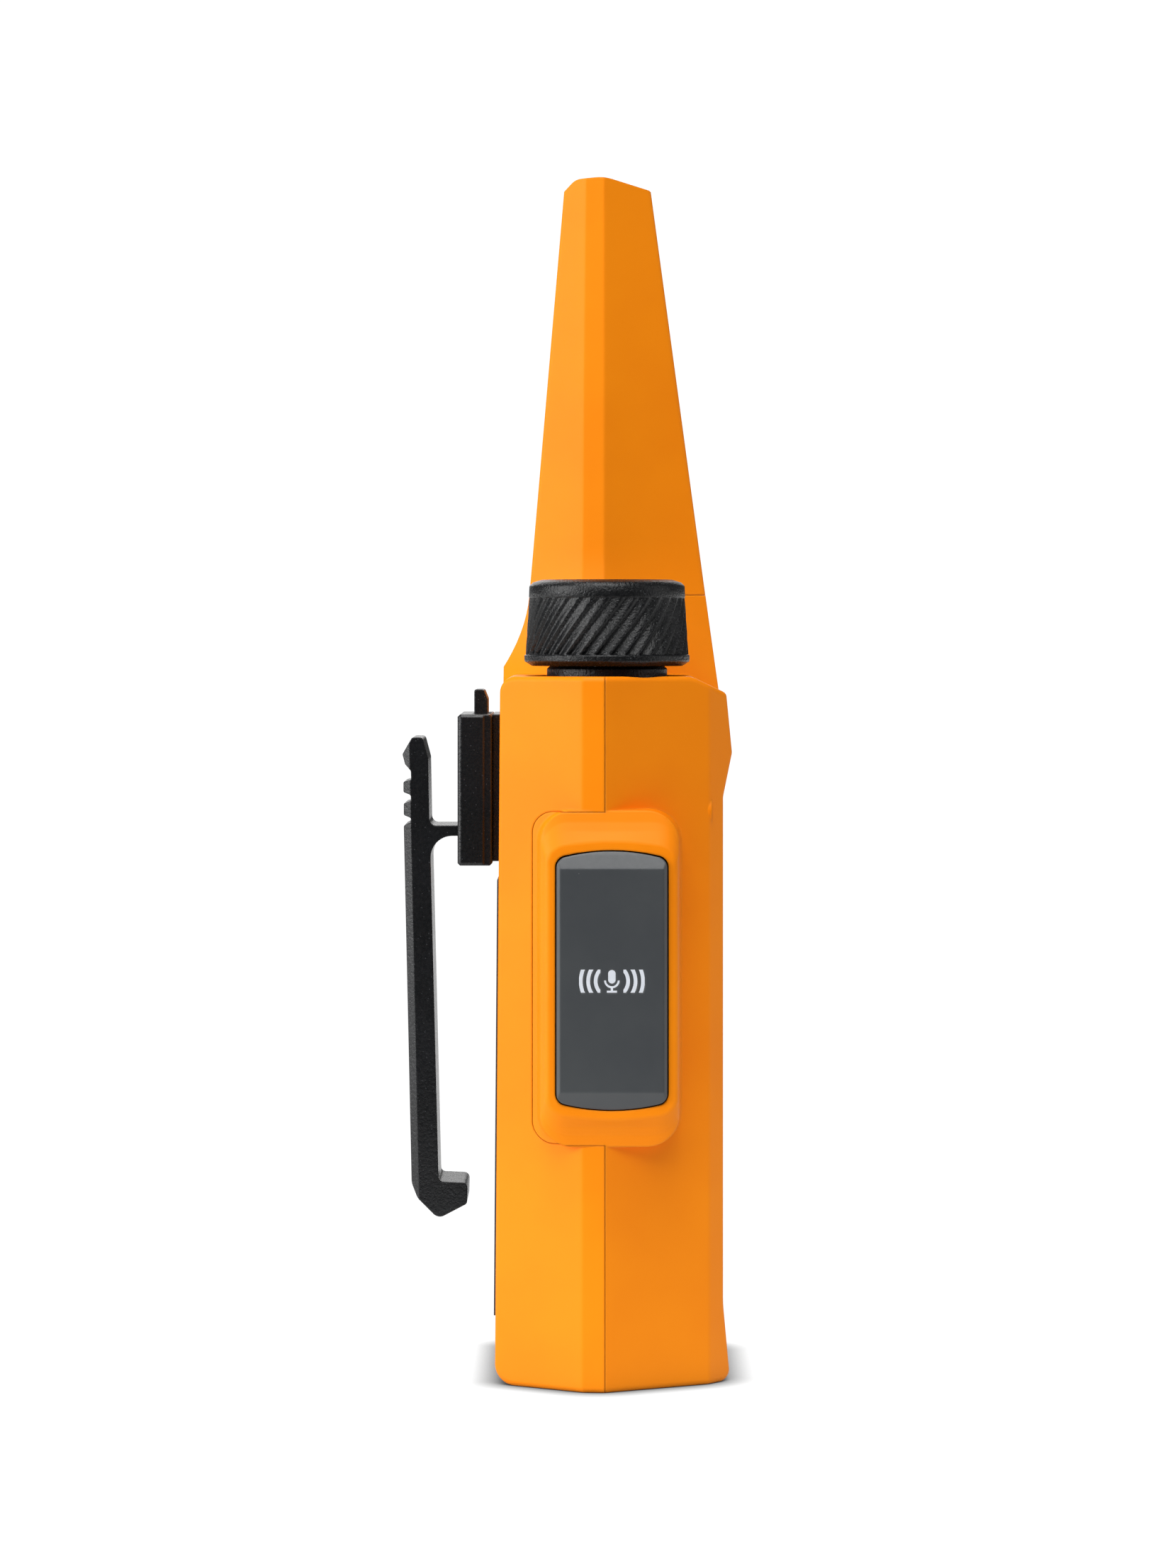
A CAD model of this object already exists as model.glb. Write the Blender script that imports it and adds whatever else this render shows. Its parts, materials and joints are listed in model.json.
# %% [markdown]
# # A handheld two way radio in orange plastic
# The design of this radio, with every part in its true place and size, is already packed as a
# frame. This lesson loads that frame, gives every surface a real finish, and models the pieces
# whose look needs more than the frame holds: the ribbed knob, the display, the marks on the
# keys, the wound springs and the antenna wire.

# %% Load the frame
import bpy
import json
import math
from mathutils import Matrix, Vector


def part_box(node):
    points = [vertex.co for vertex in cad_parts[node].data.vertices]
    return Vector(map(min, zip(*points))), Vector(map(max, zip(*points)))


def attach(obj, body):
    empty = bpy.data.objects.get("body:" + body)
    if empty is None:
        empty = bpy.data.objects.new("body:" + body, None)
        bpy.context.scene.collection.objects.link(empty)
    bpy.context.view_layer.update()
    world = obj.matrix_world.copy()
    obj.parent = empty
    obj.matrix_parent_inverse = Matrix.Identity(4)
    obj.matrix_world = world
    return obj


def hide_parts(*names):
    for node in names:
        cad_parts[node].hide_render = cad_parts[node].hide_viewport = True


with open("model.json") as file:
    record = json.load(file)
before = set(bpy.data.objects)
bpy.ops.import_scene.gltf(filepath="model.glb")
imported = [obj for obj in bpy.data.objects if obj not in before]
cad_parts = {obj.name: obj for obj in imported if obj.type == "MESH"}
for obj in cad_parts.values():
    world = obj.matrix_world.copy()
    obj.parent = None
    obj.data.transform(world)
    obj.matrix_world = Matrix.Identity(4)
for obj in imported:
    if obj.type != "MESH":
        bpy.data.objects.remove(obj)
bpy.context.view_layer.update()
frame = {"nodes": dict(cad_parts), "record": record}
nodes = frame["nodes"]
MM = 0.001

# %% [markdown]
# ## Camera
# A product shot is taken from far away with a long lens, so that the sides stay nearly parallel.
# The camera looks at the talk button side, level, from a little above the middle, and the lens
# shift frames the radio without tilting the camera, which keeps its upright lines upright.

# %% Camera
camera_distance = 700 * MM
ridge_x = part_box("back_shell")[0].x
eye_y, eye_height = 2.6 * MM, 114.0 * MM
seen_height = 232.3 * MM
sensor = 36.0
frame_shift = -0.102

camera_data = bpy.data.cameras.new("camera")
camera_data.sensor_width = sensor
camera_data.lens = sensor * camera_distance / seen_height
camera_data.shift_y = frame_shift
camera = bpy.data.objects.new("camera", camera_data)
bpy.context.scene.collection.objects.link(camera)
camera.location = (ridge_x - camera_distance, eye_y, eye_height)
camera.rotation_euler = (math.radians(90), 0, math.radians(-90))
bpy.context.scene.camera = camera
print("lens:", round(camera_data.lens, 1), "mm")

# %% [markdown]
# ## Light
# The main lamp is a large soft box at the clip's side, a little above the radio. The back facets
# face it and come out bright, the front facets turn away and fall darker, and the bevels of the
# black clip mirror it as a grey line. One box stands high above the camera and one right above
# the radio, for the tops. A weak one at the display's side keeps the front from going dull, and
# one on the far side lights what the camera doesn't see.

# %% Lamps
def soft_box(name, place, target, size, watts):
    """A rectangular area lamp at `place` that faces `target`."""
    data = bpy.data.lights.new(name, "AREA")
    data.shape = "RECTANGLE"
    data.size, data.size_y = size
    data.energy = watts
    lamp = bpy.data.objects.new(name, data)
    bpy.context.scene.collection.objects.link(lamp)
    lamp.location = place
    aim = Vector(target) - Vector(place)
    lamp.rotation_euler = aim.to_track_quat("-Z", "Y").to_euler()
    return lamp

radio_middle = (0, 0, 0.09)
# Places and sizes in metres, powers in watts
soft_box("clip side box", (-0.38, 0.9, 0.36), radio_middle, (0.9, 0.7), 9.0)
soft_box("camera box", (-0.85, 0.0, 0.9), radio_middle, (0.8, 0.6), 5.8)
soft_box("top box", (-0.25, 0.15, 1.25), radio_middle, (0.7, 0.7), 8.5)
soft_box("display side box", (-0.2, -1.05, 0.4), radio_middle, (0.7, 0.7), 1.2)
soft_box("far box", (1.0, 0.1, 0.6), radio_middle, (0.8, 0.8), 3.5)
print("lamps:", len(bpy.data.lights))

# %% [markdown]
# The room itself is white where the lens sees it, and much darker as a source of light. Black
# plastic mirrors a few percent of whatever is in front of it, so a dark room behind the camera
# is what keeps black parts black.

# %% Room
room = bpy.data.worlds.new("studio")
room.use_nodes = True
room_tree = room.node_tree
background = room_tree.nodes["Background"]
background.inputs["Color"].default_value = (1, 1, 1, 1)
path = room_tree.nodes.new("ShaderNodeLightPath")
room_level = room_tree.nodes.new("ShaderNodeMapRange")
room_light, seen_white = 0.10, 1.05
room_level.inputs["To Min"].default_value = room_light
room_level.inputs["To Max"].default_value = seen_white
room_tree.links.new(path.outputs["Is Camera Ray"], room_level.inputs["Value"])
room_tree.links.new(room_level.outputs["Result"], background.inputs["Strength"])
bpy.context.scene.world = room
bpy.context.scene.view_settings.view_transform = "Standard"
print("room:", room.name, "seen at", seen_white, "and lighting at", room_light)

# %% [markdown]
# ## Helpers for finishes
# Colours are written as the hex values of a paint chart and turned to the linear values that a
# renderer counts with. One helper adds a node with its settings and its links.

# %% Colour and node helpers
def linear(hex_colour):
    """An sRGB hex colour as linear red, green, blue and alpha."""
    parts = [int(hex_colour[i:i + 2], 16) / 255 for i in (1, 3, 5)]
    return (*[c / 12.92 if c <= 0.04045 else ((c + 0.055) / 1.055) ** 2.4 for c in parts], 1)

def add_node(material, kind, inputs=None, **settings):
    """Add a node; each input takes a value or another node's output."""
    node = material.node_tree.nodes.new(kind)
    for name, value in settings.items():
        setattr(node, name, value)
    for name, value in (inputs or {}).items():
        if isinstance(value, bpy.types.NodeSocket):
            material.node_tree.links.new(value, node.inputs[name])
        else:
            node.inputs[name].default_value = value
    return node

# A Mix node keeps a set of sockets for each data type, so its colour ones go by number
MIX_A, MIX_B, MIX_OUT = 6, 7, 2

# %% [markdown]
# ## One recipe for most surfaces
# A moulded, cast or plated surface is nearly one colour, and what makes it look real is small:
# a slow drift of tone across the piece, a fine grain from the mould, gloss that changes with
# that grain, and edges that handling has rounded and polished a little. The recipe takes real
# sizes in millimetres for each, so that every finish keeps its own scale.

# %% Surface recipe
def surface(name, colour, drift_colour, edge_colour, gloss, grain, drift=18.0, edge=0.25,
            edge_strength=0.5, metallic=0.0, ior=1.5, shine=0.5, speck=None):
    """A solid finish. Sizes are in mm.

    gloss: lowest and highest roughness. grain: size and depth. drift: size of the slow changes
    of tone. edge: radius of the rounded edges. speck: colour, spacing and share of light specks.
    """
    m = bpy.data.materials.new(name)
    m.use_nodes = True
    shader = m.node_tree.nodes["Principled BSDF"]
    place = add_node(m, "ShaderNodeTexCoord").outputs["Object"]
    grain_size, grain_depth = grain
    cloud = add_node(m, "ShaderNodeTexNoise", {"Vector": place, "Scale": 1 / (drift * MM),
                     "Detail": 3.0, "Roughness": 0.55})
    fine = add_node(m, "ShaderNodeTexNoise", {"Vector": place, "Scale": 1 / (grain_size * MM),
                    "Detail": 2.0, "Roughness": 0.6})
    tone = add_node(m, "ShaderNodeMapRange",
                    {"Value": cloud.outputs["Fac"], "From Min": 0.35, "From Max": 0.65})
    body = add_node(m, "ShaderNodeMix", {0: tone.outputs["Result"], MIX_A: linear(colour),
                    MIX_B: linear(drift_colour)}, data_type="RGBA")
    soft = add_node(m, "ShaderNodeBevel", {"Radius": edge * MM}, samples=6)
    true = add_node(m, "ShaderNodeNewGeometry")
    turn = add_node(m, "ShaderNodeVectorMath", {0: soft.outputs["Normal"],
                    1: true.outputs["True Normal"]}, operation="DOT_PRODUCT")
    worn = add_node(m, "ShaderNodeMapRange", {"Value": turn.outputs["Value"], "From Min": 0.985,
                    "From Max": 0.90, "To Min": 0.0, "To Max": edge_strength})
    patchy = add_node(m, "ShaderNodeMath", {0: worn.outputs["Result"], 1: tone.outputs["Result"]},
                      operation="MULTIPLY")
    painted = add_node(m, "ShaderNodeMix", {0: patchy.outputs[0], MIX_A: body.outputs[MIX_OUT],
                       MIX_B: linear(edge_colour)}, data_type="RGBA")
    base = painted.outputs[MIX_OUT]
    if speck:
        speck_colour, speck_size, speck_share = speck
        dots = add_node(m, "ShaderNodeTexVoronoi",
                        {"Vector": place, "Scale": 1 / (speck_size * MM)})
        lit = add_node(m, "ShaderNodeMapRange", {"Value": dots.outputs["Distance"],
                       "From Min": speck_share, "From Max": 0.6 * speck_share, "To Max": 0.8})
        base = add_node(m, "ShaderNodeMix", {0: lit.outputs["Result"], MIX_A: base,
                        MIX_B: linear(speck_colour)}, data_type="RGBA").outputs[MIX_OUT]
    sheen = add_node(m, "ShaderNodeMapRange", {"Value": fine.outputs["Fac"], "From Min": 0.3,
                     "From Max": 0.7, "To Min": gloss[0], "To Max": gloss[1]})
    relief = add_node(m, "ShaderNodeBump", {"Height": fine.outputs["Fac"],
                      "Distance": grain_depth * MM, "Normal": soft.outputs["Normal"]})
    m.node_tree.links.new(base, shader.inputs["Base Color"])
    m.node_tree.links.new(sheen.outputs["Result"], shader.inputs["Roughness"])
    m.node_tree.links.new(relief.outputs["Normal"], shader.inputs["Normal"])
    shader.inputs["Metallic"].default_value = metallic
    if not metallic:
        shader.inputs["IOR"].default_value = ior
        shader.inputs["Specular IOR Level"].default_value = shine
    return m

# %% [markdown]
# ## Moulded plastics
# The case is ABS, coloured through and moulded in a tool with a very fine satin grain, so it has
# a soft gloss and no sparkle. The clip and the knob are black nylon from a spark-eroded tool.
# Its coarser grain, drawn at about 0.4 mm so that it shows, breaks highlights into specks, and
# tiny glints stand for the spark pits that catch the light.

# %% Case, clip and knob plastics
finishes = {}
finishes["case_orange"] = surface(
    "orange_abs_satin_moulded", "#FF8F02", "#FA8800", "#FFA430", gloss=(0.42, 0.52),
    grain=(0.35, 0.006), drift=26.0, edge=0.45, edge_strength=0.35, ior=1.53, shine=0.15)
finishes["clip_black"] = surface(
    "black_nylon_spark_grained", "#0A0B0D", "#0F1013", "#3A3A3C", gloss=(0.22, 0.34),
    grain=(0.42, 0.05), drift=9.0, edge=0.3, edge_strength=0.5,
    speck=("#45474B", 0.7, 0.13))
finishes["knob_black"] = surface(
    "black_nylon_coarse_grained", "#090A0C", "#0E0F11", "#242426", gloss=(0.24, 0.38),
    grain=(0.36, 0.12), drift=7.0, edge=0.2, edge_strength=0.5, shine=0.4,
    speck=("#55575A", 0.7, 0.15))
finishes["door_grey"] = surface(
    "charcoal_abs_fine_grained", "#26272A", "#2B2C2F", "#48494B", gloss=(0.42, 0.58),
    grain=(0.45, 0.04), drift=14.0, edge=0.35)
finishes["inner_black"] = surface(
    "black_abs_unpolished", "#161617", "#1C1C1E", "#303032", gloss=(0.50, 0.65), grain=(0.6, 0.02))
finishes["white_nylon"] = surface(
    "natural_nylon_moulded", "#DAD8CC", "#E4E2D8", "#F0EFE8", gloss=(0.35, 0.5), grain=(0.8, 0.01))
print("plastics:", len(finishes))

# %% [markdown]
# ## Soft-touch and printed surfaces
# The talk button is a dark grey elastomer over a hard core: smooth, with a faint bloom and the
# odd speck of dust. Its symbol is pad printed, a thin ink film that is slightly rougher. The
# keys and the port cover are moulded silicone rubber, matt and dusty at the edges.

# %% Button, print and rubbers
finishes["button_grey"] = surface(
    "grey_elastomer_moulded", "#3F4245", "#444749", "#6A6A66", gloss=(0.28, 0.36),
    grain=(0.5, 0.006), drift=12.0, edge=0.45, edge_strength=0.3, shine=0.6,
    speck=("#7E8082", 4.5, 0.02))
finishes["print_white"] = surface(
    "white_ink_pad_printed", "#DDE1E8", "#D3D8E0", "#E8EAEE", gloss=(0.5, 0.62), grain=(0.25, 0.01),
    drift=1.5, edge=0.05)
finishes["key_grey"] = surface(
    "grey_silicone_matt", "#4C4F52", "#53565A", "#74767A", gloss=(0.55, 0.7), grain=(0.4, 0.02),
    drift=4.0, edge=0.2, speck=("#8A8C90", 2.4, 0.03))
finishes["cover_rubber"] = surface(
    "black_rubber_matt", "#1D1E20", "#252628", "#47484A", gloss=(0.6, 0.75), grain=(0.5, 0.03),
    drift=4.0, edge=0.3, speck=("#6A6B6E", 2.0, 0.03))
finishes["seal_rubber"] = surface(
    "black_rubber_extruded", "#161617", "#1E1E1F", "#353536", gloss=(0.6, 0.75), grain=(0.5, 0.02))
finishes["fascia_grey"] = surface(
    "graphite_pc_satin", "#1E2023", "#232528", "#4A4C50", gloss=(0.25, 0.34), grain=(0.5, 0.008),
    drift=12.0, edge=0.25, ior=1.58)
print("with soft and printed surfaces:", len(finishes))

# %% [markdown]
# ## Metals and boards
# Screws, springs and shields are zinc-plated steel: bright, faintly blue, with a cloudy bloom.
# The antenna wire and its socket are brass that has dulled a little. The circuit boards carry
# green solder mask, a glossy lacquer over glass cloth whose weave shows through.

# %% Steel, brass and board
finishes["steel"] = surface(
    "steel_zinc_plated", "#B9BCC0", "#A5AAB1", "#D8DADC", gloss=(0.22, 0.42), grain=(0.7, 0.01),
    drift=3.0, edge=0.15, metallic=1.0)
finishes["brass"] = surface(
    "brass_turned", "#C9A35A", "#A98442", "#E2C588", gloss=(0.25, 0.42), grain=(0.4, 0.01),
    drift=4.0, edge=0.15, metallic=1.0)
finishes["board_green"] = surface(
    "solder_mask_on_glass_cloth", "#0E4A2A", "#125634", "#3C7A58", gloss=(0.22, 0.34),
    grain=(0.9, 0.02), drift=2.2, edge=0.15)
finishes["cell_wrap"] = surface(
    "pvc_shrink_sleeve", "#2A4468", "#304C73", "#54709A", gloss=(0.16, 0.24), grain=(2.5, 0.02),
    drift=8.0, edge=0.4)
print("with metals and boards:", len(finishes))

# %% [markdown]
# ## Acoustic cloth
# The speaker sits behind a plain-woven polyester cloth that keeps dust out and lets sound
# through. Two sets of threads cross at half a millimetre: each set is a wave along one axis,
# and where both are high a thread lies on top.

# %% Woven cloth finish
THREAD = 0.5
WAVES_PER_UNIT = 0.314      # the Wave node's Scale for one band in each unit of length
weave = bpy.data.materials.new("polyester_cloth_plain_woven")
weave.use_nodes = True
weave_shader = weave.node_tree.nodes["Principled BSDF"]
weave_place = add_node(weave, "ShaderNodeTexCoord").outputs["Object"]
warp, weft = [
    add_node(weave, "ShaderNodeTexWave",
             {"Vector": weave_place, "Scale": WAVES_PER_UNIT / (THREAD * MM)},
             bands_direction=direction) for direction in "XZ"]
crossing = add_node(weave, "ShaderNodeMath", {0: warp.outputs["Fac"], 1: weft.outputs["Fac"]},
                    operation="MULTIPLY")
thread_colour = add_node(weave, "ShaderNodeMix", {0: crossing.outputs[0], MIX_A: linear("#050506"),
                         MIX_B: linear("#333438")}, data_type="RGBA")
thread_bump = add_node(weave, "ShaderNodeBump",
                       {"Height": crossing.outputs[0], "Distance": 0.3 * THREAD * MM})
weave.node_tree.links.new(thread_colour.outputs[MIX_OUT], weave_shader.inputs["Base Color"])
weave.node_tree.links.new(thread_bump.outputs["Normal"], weave_shader.inputs["Normal"])
weave_shader.inputs["Roughness"].default_value = 0.85
finishes["grille_cloth"] = weave
print("cloth:", weave.name, "threads every", THREAD, "mm")

# %% [markdown]
# ## Clear parts
# The display window is cast polycarbonate with faint smears from wiping, and the status lens is
# a milky light pipe. Both let light through, so they show what lies behind them.

# %% Window and lens
def clear_plastic(name, colour, roughest, transmission):
    """A clear moulding with smears that only change its gloss."""
    m = bpy.data.materials.new(name)
    m.use_nodes = True
    shader = m.node_tree.nodes["Principled BSDF"]
    place = add_node(m, "ShaderNodeTexCoord").outputs["Object"]
    smear_size = 6 * MM
    smear = add_node(m, "ShaderNodeTexNoise",
                     {"Vector": place, "Scale": 1 / smear_size, "Detail": 4.0, "Distortion": 1.2})
    gloss = add_node(m, "ShaderNodeMapRange", {"Value": smear.outputs["Fac"], "From Min": 0.45,
                     "From Max": 0.75, "To Min": 0.03, "To Max": roughest})
    m.node_tree.links.new(gloss.outputs["Result"], shader.inputs["Roughness"])
    shader.inputs["Base Color"].default_value = linear(colour)
    shader.inputs["Transmission Weight"].default_value = transmission
    shader.inputs["IOR"].default_value = 1.58
    return m

finishes["window_clear"] = clear_plastic("polycarbonate_cast_clear", "#E8F0EE", 0.14, 1.0)
finishes["lens_clear"] = clear_plastic("polycarbonate_milky", "#D8E0DC", 0.35, 0.6)
finishes["display_grey"] = surface(
    "display_glass_reflective", "#9AA58F", "#A1AC96", "#B4BCA8", gloss=(0.18, 0.26),
    grain=(1.5, 0.004), drift=9.0, edge=0.15)
print("all finishes:", len(finishes))

# %% [markdown]
# ## Dressing the frame
# The frame's record names a material slot for each node, so that one loop can dress them all.

# %% Put the finishes on the nodes
slot_of = {part["node"]: part["material_slot"] for part in frame["record"]["subparts"]}
for name, node in nodes.items():
    node.data.materials.clear()
    node.data.materials.append(finishes[slot_of[name]])
print("finished nodes:", len(nodes), "with", len(finishes), "finishes")

# %% [markdown]
# ## Floor
# The radio stands on a white light table, which glows evenly and so throws no hard shadow. The
# table ends just in front of the radio, so that black parts don't mirror it from there. Only
# where the case keeps the light off the glass, right along its base, does the table darken. The
# Ambient Occlusion node measures how much of the sky a point sees, and a power of it is that
# contact shadow.

# %% Floor
TABLE_SIZE, TABLE_FRONT = 3.0, 0.17
SHADOW_REACH, SHADOW_DEPTH, TABLE_GLOW = 4.5 * MM, 1.6, 1.04
bpy.ops.mesh.primitive_plane_add(size=TABLE_SIZE, location=(TABLE_SIZE / 2 - TABLE_FRONT, 0, 0))
floor = bpy.context.active_object
floor.name = "floor"
glass = bpy.data.materials.new("opal_glass_light_table")
glass.use_nodes = True
glass_shader = glass.node_tree.nodes["Principled BSDF"]
seen_sky = add_node(glass, "ShaderNodeAmbientOcclusion", {"Distance": SHADOW_REACH}, samples=16)
shadow = add_node(glass, "ShaderNodeMath", {0: seen_sky.outputs["AO"], 1: SHADOW_DEPTH},
                  operation="POWER")
glow = add_node(glass, "ShaderNodeMath", {0: shadow.outputs[0], 1: TABLE_GLOW},
                operation="MULTIPLY")
glass.node_tree.links.new(glow.outputs[0], glass_shader.inputs["Emission Strength"])
glass_shader.inputs["Emission Color"].default_value = (1, 1, 1, 1)
glass_shader.inputs["Base Color"].default_value = linear("#202020")
glass_shader.inputs["Roughness"].default_value = 0.9
glass_shader.inputs["Specular IOR Level"].default_value = 0.0
floor.data.materials.append(glass)
print("floor:", TABLE_SIZE, "m square, contact shadow", round(SHADOW_REACH / MM, 1), "mm wide")

# %% [markdown]
# ## Making pieces by hand
# New pieces start from a primitive and are shaped with the edit-mode tools. These helpers clear
# the selection first, because a tool acts on everything that is selected, and at the end they
# move a piece's place into its mesh, give it its finish and tie it to the body it moves with.

# %% Modelling helpers
def clear_selection():
    if bpy.context.mode != "OBJECT":
        bpy.ops.object.mode_set(mode="OBJECT")
    bpy.ops.object.select_all(action="DESELECT")

def finish_piece(piece, name, body, slot, angle=30):
    """Name a piece, freeze its place, turn its faces outwards and tie it to its body."""
    clear_selection()
    piece.select_set(True)
    bpy.context.view_layer.objects.active = piece
    bpy.ops.object.transform_apply(location=True, rotation=True, scale=True)
    bpy.ops.object.mode_set(mode="EDIT")
    bpy.ops.mesh.select_all(action="SELECT")
    bpy.ops.mesh.remove_doubles(threshold=0.002 * MM)
    bpy.ops.mesh.normals_make_consistent(inside=False)
    bpy.ops.object.mode_set(mode="OBJECT")
    bpy.ops.object.shade_smooth_by_angle(angle=math.radians(angle))
    piece.name = name
    piece.data.name = name
    piece.data.materials.clear()
    piece.data.materials.append(finishes[slot])
    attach(piece, body)
    print(name, "faces:", len(piece.data.polygons))
    return piece

# %% [markdown]
# ## Knob
# The volume knob is black nylon with about thirty-four slanted ribs that the fingers can grip.
# Moulded in one piece, it has a rim at the bottom, the ribbed band, a plain band and a bevelled
# top. It could be cut from a turned blank, and is drawn that way here: one ring of points is
# extruded up through every ring of the outline and turned a little at each step of the ribbed
# band, which slants the columns of faces. Then the columns are pushed in and out as ribs, whose
# depth fades towards the top.

# %% Knob outline
RIBS = 34
POINTS_PER_RIB = 8
RIB_STEPS = 14
knob_corner, knob_far_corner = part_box("knob")
shaft_corner, shaft_far_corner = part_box("knob_shaft")
knob_middle = (knob_corner + knob_far_corner) / 2
knob_low, knob_high = knob_corner.z, knob_far_corner.z
knob_radius = (knob_far_corner.x - knob_corner.x) / 2
shaft_top = shaft_far_corner.z
shaft_radius = (shaft_far_corner.x - shaft_corner.x) / 2
rib_low, rib_high = knob_low + 1.75 * MM, knob_high - 2.75 * MM
rib_bottom_radius, rib_top_radius = knob_radius - 0.18 * MM, knob_radius - 0.72 * MM
rib_depth_low, rib_depth_high = 0.62 * MM, 0.22 * MM
slant_total = math.radians(31)

# Height, radius and turn of each ring: up the bore, out under the rim, up the side, over the top
rings = [
    (shaft_top + 0.02 * MM, shaft_radius + 0.02 * MM, 0),
    (knob_low, shaft_radius + 0.02 * MM, 0),
    (knob_low, knob_radius - 1.1 * MM, 0),
    (knob_low + 0.08 * MM, knob_radius - 0.95 * MM, 0),
    (knob_low + 0.62 * MM, knob_radius - 0.12 * MM, 0),
    (knob_low + 0.78 * MM, knob_radius - 0.02 * MM, 0),
    (knob_low + 1.50 * MM, knob_radius, 0),
    (knob_low + 1.62 * MM, knob_radius - 0.06 * MM, 0),
    (knob_low + 1.68 * MM, rib_bottom_radius, 0),
]
for step in range(RIB_STEPS + 1):
    up = step / RIB_STEPS
    z = rib_low + up * (rib_high - rib_low)
    radius = rib_bottom_radius + up * (rib_top_radius - rib_bottom_radius)
    rings.append((z, radius, slant_total / RIB_STEPS if step else 0))
rings += [
    (knob_high - 2.68 * MM, rib_top_radius, 0),
    (knob_high - 2.60 * MM, rib_top_radius + 0.03 * MM, 0),
    (knob_high - 1.02 * MM, rib_top_radius - 0.03 * MM, 0),
    (knob_high - 0.86 * MM, rib_top_radius - 0.12 * MM, 0),
    (knob_high - 0.42 * MM, rib_top_radius - 0.58 * MM, 0),
    (knob_high - 0.06 * MM, knob_radius - 2.45 * MM, 0),
    (knob_high, knob_radius - 2.75 * MM, 0),
    (knob_high, knob_radius - 5.2 * MM, 0),
    (knob_high - 0.12 * MM, knob_radius - 5.5 * MM, 0),
    (knob_high - 0.12 * MM, 1.0 * MM, 0),
]

# %% [markdown]
# The blank is a circle with one point for each column of faces. Its face is deleted first, so
# that only the ring is extruded and the bore stays open.

# %% Knob
clear_selection()
first_z, first_radius, _ = rings[0]
bpy.ops.mesh.primitive_circle_add(
    vertices=RIBS * POINTS_PER_RIB, radius=first_radius, fill_type="NGON",
    location=(knob_middle.x, knob_middle.y, first_z))
knob_piece = bpy.context.active_object
bpy.ops.object.transform_apply(location=True, rotation=False, scale=False)
bpy.ops.object.mode_set(mode="EDIT")
bpy.ops.mesh.select_all(action="SELECT")
bpy.ops.mesh.delete(type="ONLY_FACE")
bpy.ops.mesh.select_all(action="SELECT")
axis_point = (knob_middle.x, knob_middle.y, 0)
last_z, last_radius = first_z, first_radius
for z, radius, turn in rings[1:]:
    bpy.ops.mesh.extrude_region_move(TRANSFORM_OT_translate={"value": (0, 0, z - last_z)})
    scale = radius / last_radius
    bpy.ops.transform.resize(value=(scale, scale, 1), center_override=axis_point)
    if turn:
        bpy.ops.transform.rotate(value=-turn, orient_axis="Z", center_override=axis_point)
    last_z, last_radius = z, radius
bpy.ops.object.mode_set(mode="OBJECT")

# %% [markdown]
# Then the ribs are pressed in. Across one rib the outline is like a saw tooth: a long slope that
# rises to a narrow crest, and a steep drop behind it. Each point knows its place on that outline
# from its order round the ring.

# %% Ribs
RIB_OUTLINE = [1.0, 0.78, 0.52, 0.26, 0.04, 0.0, 0.35, 0.95]
HAIR = 0.001 * MM
columns = RIBS * POINTS_PER_RIB
print("points:", len(knob_piece.data.vertices), "rings:", len(rings), "columns:", columns)
for index, point in enumerate(knob_piece.data.vertices):
    flat = Vector((point.co.x - knob_middle.x, point.co.y - knob_middle.y))
    inside = flat.length < rib_top_radius - 1 * MM
    if inside or not rib_low - HAIR <= point.co.z <= rib_high + HAIR:
        continue
    up = (point.co.z - rib_low) / (rib_high - rib_low)
    depth = rib_depth_low + up * (rib_depth_high - rib_depth_low)
    press = depth * RIB_OUTLINE[index % POINTS_PER_RIB]
    flat *= (flat.length - press) / flat.length
    point.co.x, point.co.y = knob_middle.x + flat.x, knob_middle.y + flat.y

clear_selection()
knob_piece.select_set(True)
bpy.context.view_layer.objects.active = knob_piece
bpy.ops.object.mode_set(mode="EDIT")
bpy.ops.mesh.select_all(action="SELECT")
bpy.ops.mesh.fill_holes(sides=0)
finish_piece(knob_piece, "knob_ribbed", "volume_knob", "knob_black", angle=28)
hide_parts("knob")

# %% [markdown]
# ## Springs and antenna wire
# The cells rest on tapered springs and the antenna is a wire wound on a nylon rod. Both are
# wound on a mandrel from round wire. The Screw modifier does the same: it carries a small ring,
# the wire's section, round the axis while it climbs. A spring then gets its taper by drawing
# each point in by its height, which keeps the wire round.

# %% Wound wire
STEPS_PER_TURN = 20

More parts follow.
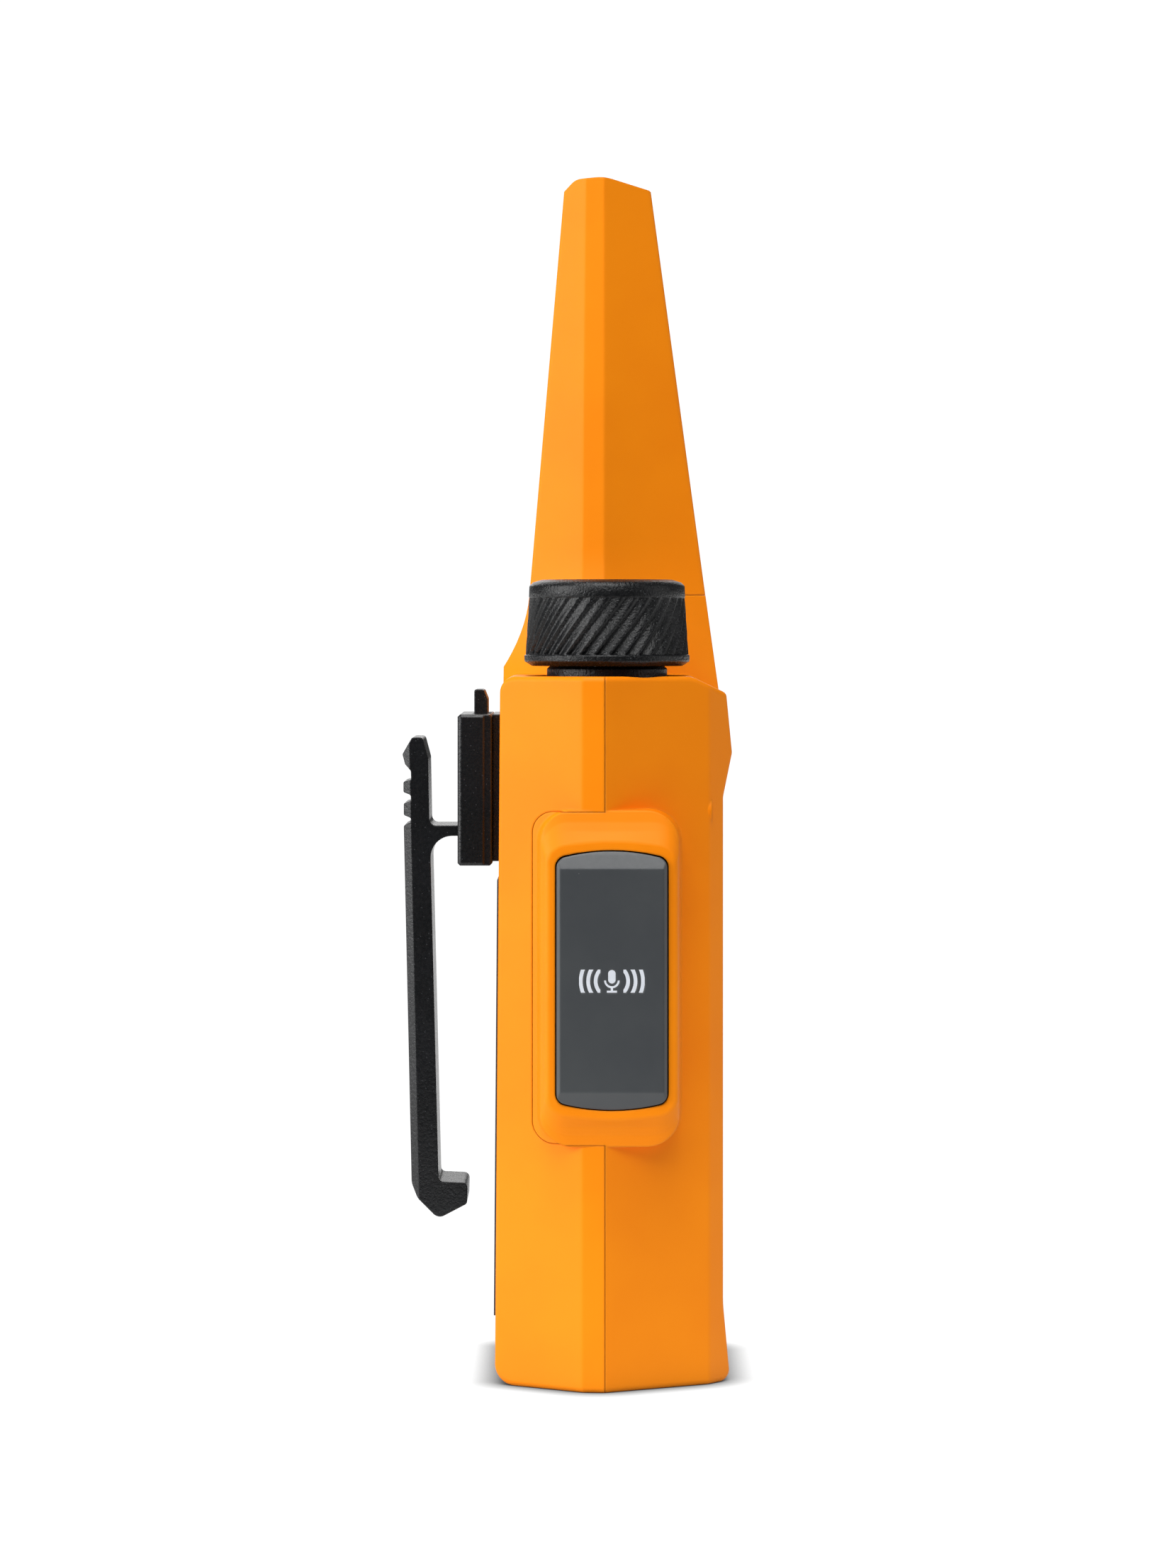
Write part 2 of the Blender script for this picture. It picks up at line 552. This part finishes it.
def wound_wire(middle, low, high, first_radius, last_radius, wire_radius, turns):
    """A helix of round wire about the upright line through `middle`."""
    clear_selection()
    bpy.ops.mesh.primitive_circle_add(vertices=8, radius=wire_radius, rotation=(math.pi / 2, 0, 0),
                                      location=(middle.x, middle.y, low + wire_radius))
    wire = bpy.context.active_object
    bpy.ops.object.transform_apply(location=False, rotation=True, scale=False)
    bpy.ops.object.mode_set(mode="EDIT")
    bpy.ops.mesh.select_all(action="SELECT")
    bpy.ops.transform.translate(value=(first_radius, 0, 0))
    bpy.ops.object.mode_set(mode="OBJECT")
    climb = high - low - 2 * wire_radius
    winding = wire.modifiers.new("winding", "SCREW")
    winding.screw_offset = climb / turns
    winding.iterations = turns
    winding.steps = winding.render_steps = STEPS_PER_TURN
    bpy.ops.object.modifier_apply(modifier=winding.name)
    for point in wire.data.vertices:
        reach = math.hypot(point.co.x, point.co.y)
        up = min(1.0, max(0.0, point.co.z / climb))
        drawn = (reach - up * (first_radius - last_radius)) / reach
        point.co.x, point.co.y = point.co.x * drawn, point.co.y * drawn
    bpy.ops.object.mode_set(mode="EDIT")
    bpy.ops.mesh.select_all(action="SELECT")
    bpy.ops.mesh.fill_holes(sides=0)
    bpy.ops.object.mode_set(mode="OBJECT")
    return wire

def join_pieces(pieces):
    """Make one object of several."""
    clear_selection()
    for piece in pieces:
        piece.select_set(True)
    bpy.context.view_layer.objects.active = pieces[0]
    bpy.ops.object.join()
    return pieces[0]

# %% Battery springs and antenna wire
WIRE = 0.3 * MM
SPRING_FOOT, SPRING_TIP, SPRING_TURNS, ANTENNA_TURNS = 3.7 * MM, 1.9 * MM, 4, 30
spring_low, spring_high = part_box("battery_springs")
cell_low, cell_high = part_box("battery_cells")
cell_radius = (cell_high.y - cell_low.y) / 2
columns_x = (cell_low.x + cell_radius, (cell_low.x + cell_high.x) / 2, cell_high.x - cell_radius)
springs = [wound_wire(Vector((x, (cell_low.y + cell_high.y) / 2, 0)), spring_low.z, spring_high.z,
                      SPRING_FOOT, SPRING_TIP, WIRE, SPRING_TURNS) for x in columns_x]
battery_coils = finish_piece(join_pieces(springs), "battery_coils", "case", "steel", angle=60)
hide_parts("battery_springs")

coil_low, coil_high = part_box("antenna_coil")
coil_middle = (coil_low + coil_high) / 2
coil_radius = coil_high.x - coil_middle.x - WIRE
coil_wire = wound_wire(coil_middle, coil_low.z, coil_high.z, coil_radius, coil_radius, WIRE,
                       ANTENNA_TURNS)
antenna_wire = finish_piece(coil_wire, "antenna_wire", "case", "brass", angle=60)
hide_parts("antenna_coil")

# %% [markdown]
# ## What the display shows
# A reflective display makes dark marks on grey-green glass. It has two digits of seven bars for
# the channel, steps for the signal and a small battery. One bar is a six-sided plate, and every
# digit is made of copies of it.

# %% Flat marks
INK = 0.05 * MM             # thickness of a printed mark or a display bar

def flat_mark(x, z, y, width, height, corners=6, turn=0.0):
    """A flat plate that faces -Y: a filled ring of corners, extruded and stretched."""
    clear_selection()
    bpy.ops.mesh.primitive_circle_add(vertices=corners, radius=0.5, fill_type="NGON",
                                      location=(x, y, z), rotation=(math.pi / 2, turn, 0))
    mark = bpy.context.active_object
    bpy.ops.object.mode_set(mode="EDIT")
    bpy.ops.mesh.select_all(action="SELECT")
    bpy.ops.mesh.extrude_region_move(TRANSFORM_OT_translate={"value": (0, INK, 0)})
    bpy.ops.object.mode_set(mode="OBJECT")
    bpy.ops.object.transform_apply(location=False, rotation=True, scale=False)
    low, high = [Vector([pick(corner[axis] for corner in mark.bound_box) for axis in range(3)])
                 for pick in (min, max)]
    mark.scale = (width / (high.x - low.x), 1, height / (high.z - low.z))
    bpy.ops.object.transform_apply(location=True, rotation=False, scale=True)
    return mark

def flat_box(x, z, y, width, height):
    """A flat mark with four corners, turned so that its sides are level and upright."""
    return flat_mark(x, z, y, width, height, corners=4, turn=math.pi / 4)

# %% Digits and status marks
DIGIT_BARS = {1: "bc", 6: "acdefg"}
digit_w, digit_h, bar, bar_gap = 4.0 * MM, 7.4 * MM, 1.0 * MM, 0.3 * MM
# Place of each bar in parts of the digit's width and height, and whether it stands upright
bar_places = {
    "a": (0, 0.5, 0), "g": (0, 0, 0), "d": (0, -0.5, 0),
    "f": (-0.5, 0.25, 1), "b": (0.5, 0.25, 1), "e": (-0.5, -0.25, 1), "c": (0.5, -0.25, 1),
}
glass_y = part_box("lcd_module")[0].y - 0.04 * MM
window_low, window_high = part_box("lcd_window")
digits_z = (window_low.z + window_high.z) / 2 - 1.2 * MM
status_z, signal_foot_z = window_high.z - 2.5 * MM, window_high.z - 3.6 * MM
marks = []
for value, digit_x in ((1, -5.1 * MM), (6, 1.3 * MM)):
    for letter in DIGIT_BARS[value]:
        across, up, upright = bar_places[letter]
        size = (bar, digit_h / 2 - bar_gap) if upright else (digit_w - bar_gap, bar)
        marks.append(flat_mark(digit_x + across * digit_w, digits_z + up * digit_h, glass_y, *size))
for step in range(4):
    tall = (0.8 + 0.55 * step) * MM
    marks.append(flat_box((-9.2 + 0.95 * step) * MM, signal_foot_z + tall / 2, glass_y,
                          0.6 * MM, tall))
for step in range(3):
    marks.append(flat_box((7.0 + 1.1 * step) * MM, status_z, glass_y, 0.85 * MM, 1.6 * MM))
marks.append(flat_box(10.1 * MM, status_z, glass_y, 0.4 * MM, 0.8 * MM))
finishes["display_ink"] = surface(
    "liquid_crystal_dark", "#0C100D", "#121613", "#1A1F1B", gloss=(0.3, 0.4), grain=(0.4, 0.004),
    drift=3.0, edge=0.05)
display_marks = finish_piece(join_pieces(marks), "display_marks", "case", "display_grey", angle=20)
display_marks.data.materials.clear()
display_marks.data.materials.append(finishes["display_ink"])

# %% [markdown]
# ## Marks on the keys
# Each key carries a plain printed mark: arrows for up and down, three lines for the menu and a
# ringed dot for the call tone. They are ink films, so they stand only two hundredths of a
# millimetre above the rubber, and each moves with its own key.

# %% Key marks
def key_face(node):
    """The middle of a key's face, a hair in front of the rubber."""
    low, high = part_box(node)
    return (low.x + high.x) / 2, low.y - 0.02 * MM, (low.z + high.z) / 2

for node, body, turn in (("key_up", "up_key", 0.0), ("key_down", "down_key", math.pi)):
    x, y, z = key_face(node)
    arrow = flat_mark(x, z, y, 2.6 * MM, 1.9 * MM, corners=3, turn=turn)
    finish_piece(arrow, node + "_arrow", body, "print_white")
x, y, z = key_face("key_menu")
lines = [flat_box(x, z + row * 0.95 * MM, y, 2.8 * MM, 0.38 * MM) for row in (-1, 0, 1)]
finish_piece(join_pieces(lines), "key_menu_lines", "menu_key", "print_white")
x, y, z = key_face("key_call")
dot = flat_mark(x, z, y, 1.1 * MM, 1.1 * MM, corners=24)
ring_radius, ring_half = 1.25 * MM, 0.2 * MM
clear_selection()
bpy.ops.mesh.primitive_torus_add(location=(x, y + INK / 2, z), rotation=(math.pi / 2, 0, 0),
                                 major_radius=ring_radius, minor_radius=ring_half,
                                 major_segments=40, minor_segments=4)
ring = bpy.context.active_object
bpy.ops.object.transform_apply(location=False, rotation=True, scale=False)
ring.scale = (1, INK / (2 * ring_half), 1)
bpy.ops.object.transform_apply(location=True, rotation=False, scale=True)
finish_piece(join_pieces([dot, ring]), "key_call_ring", "call_key", "print_white")
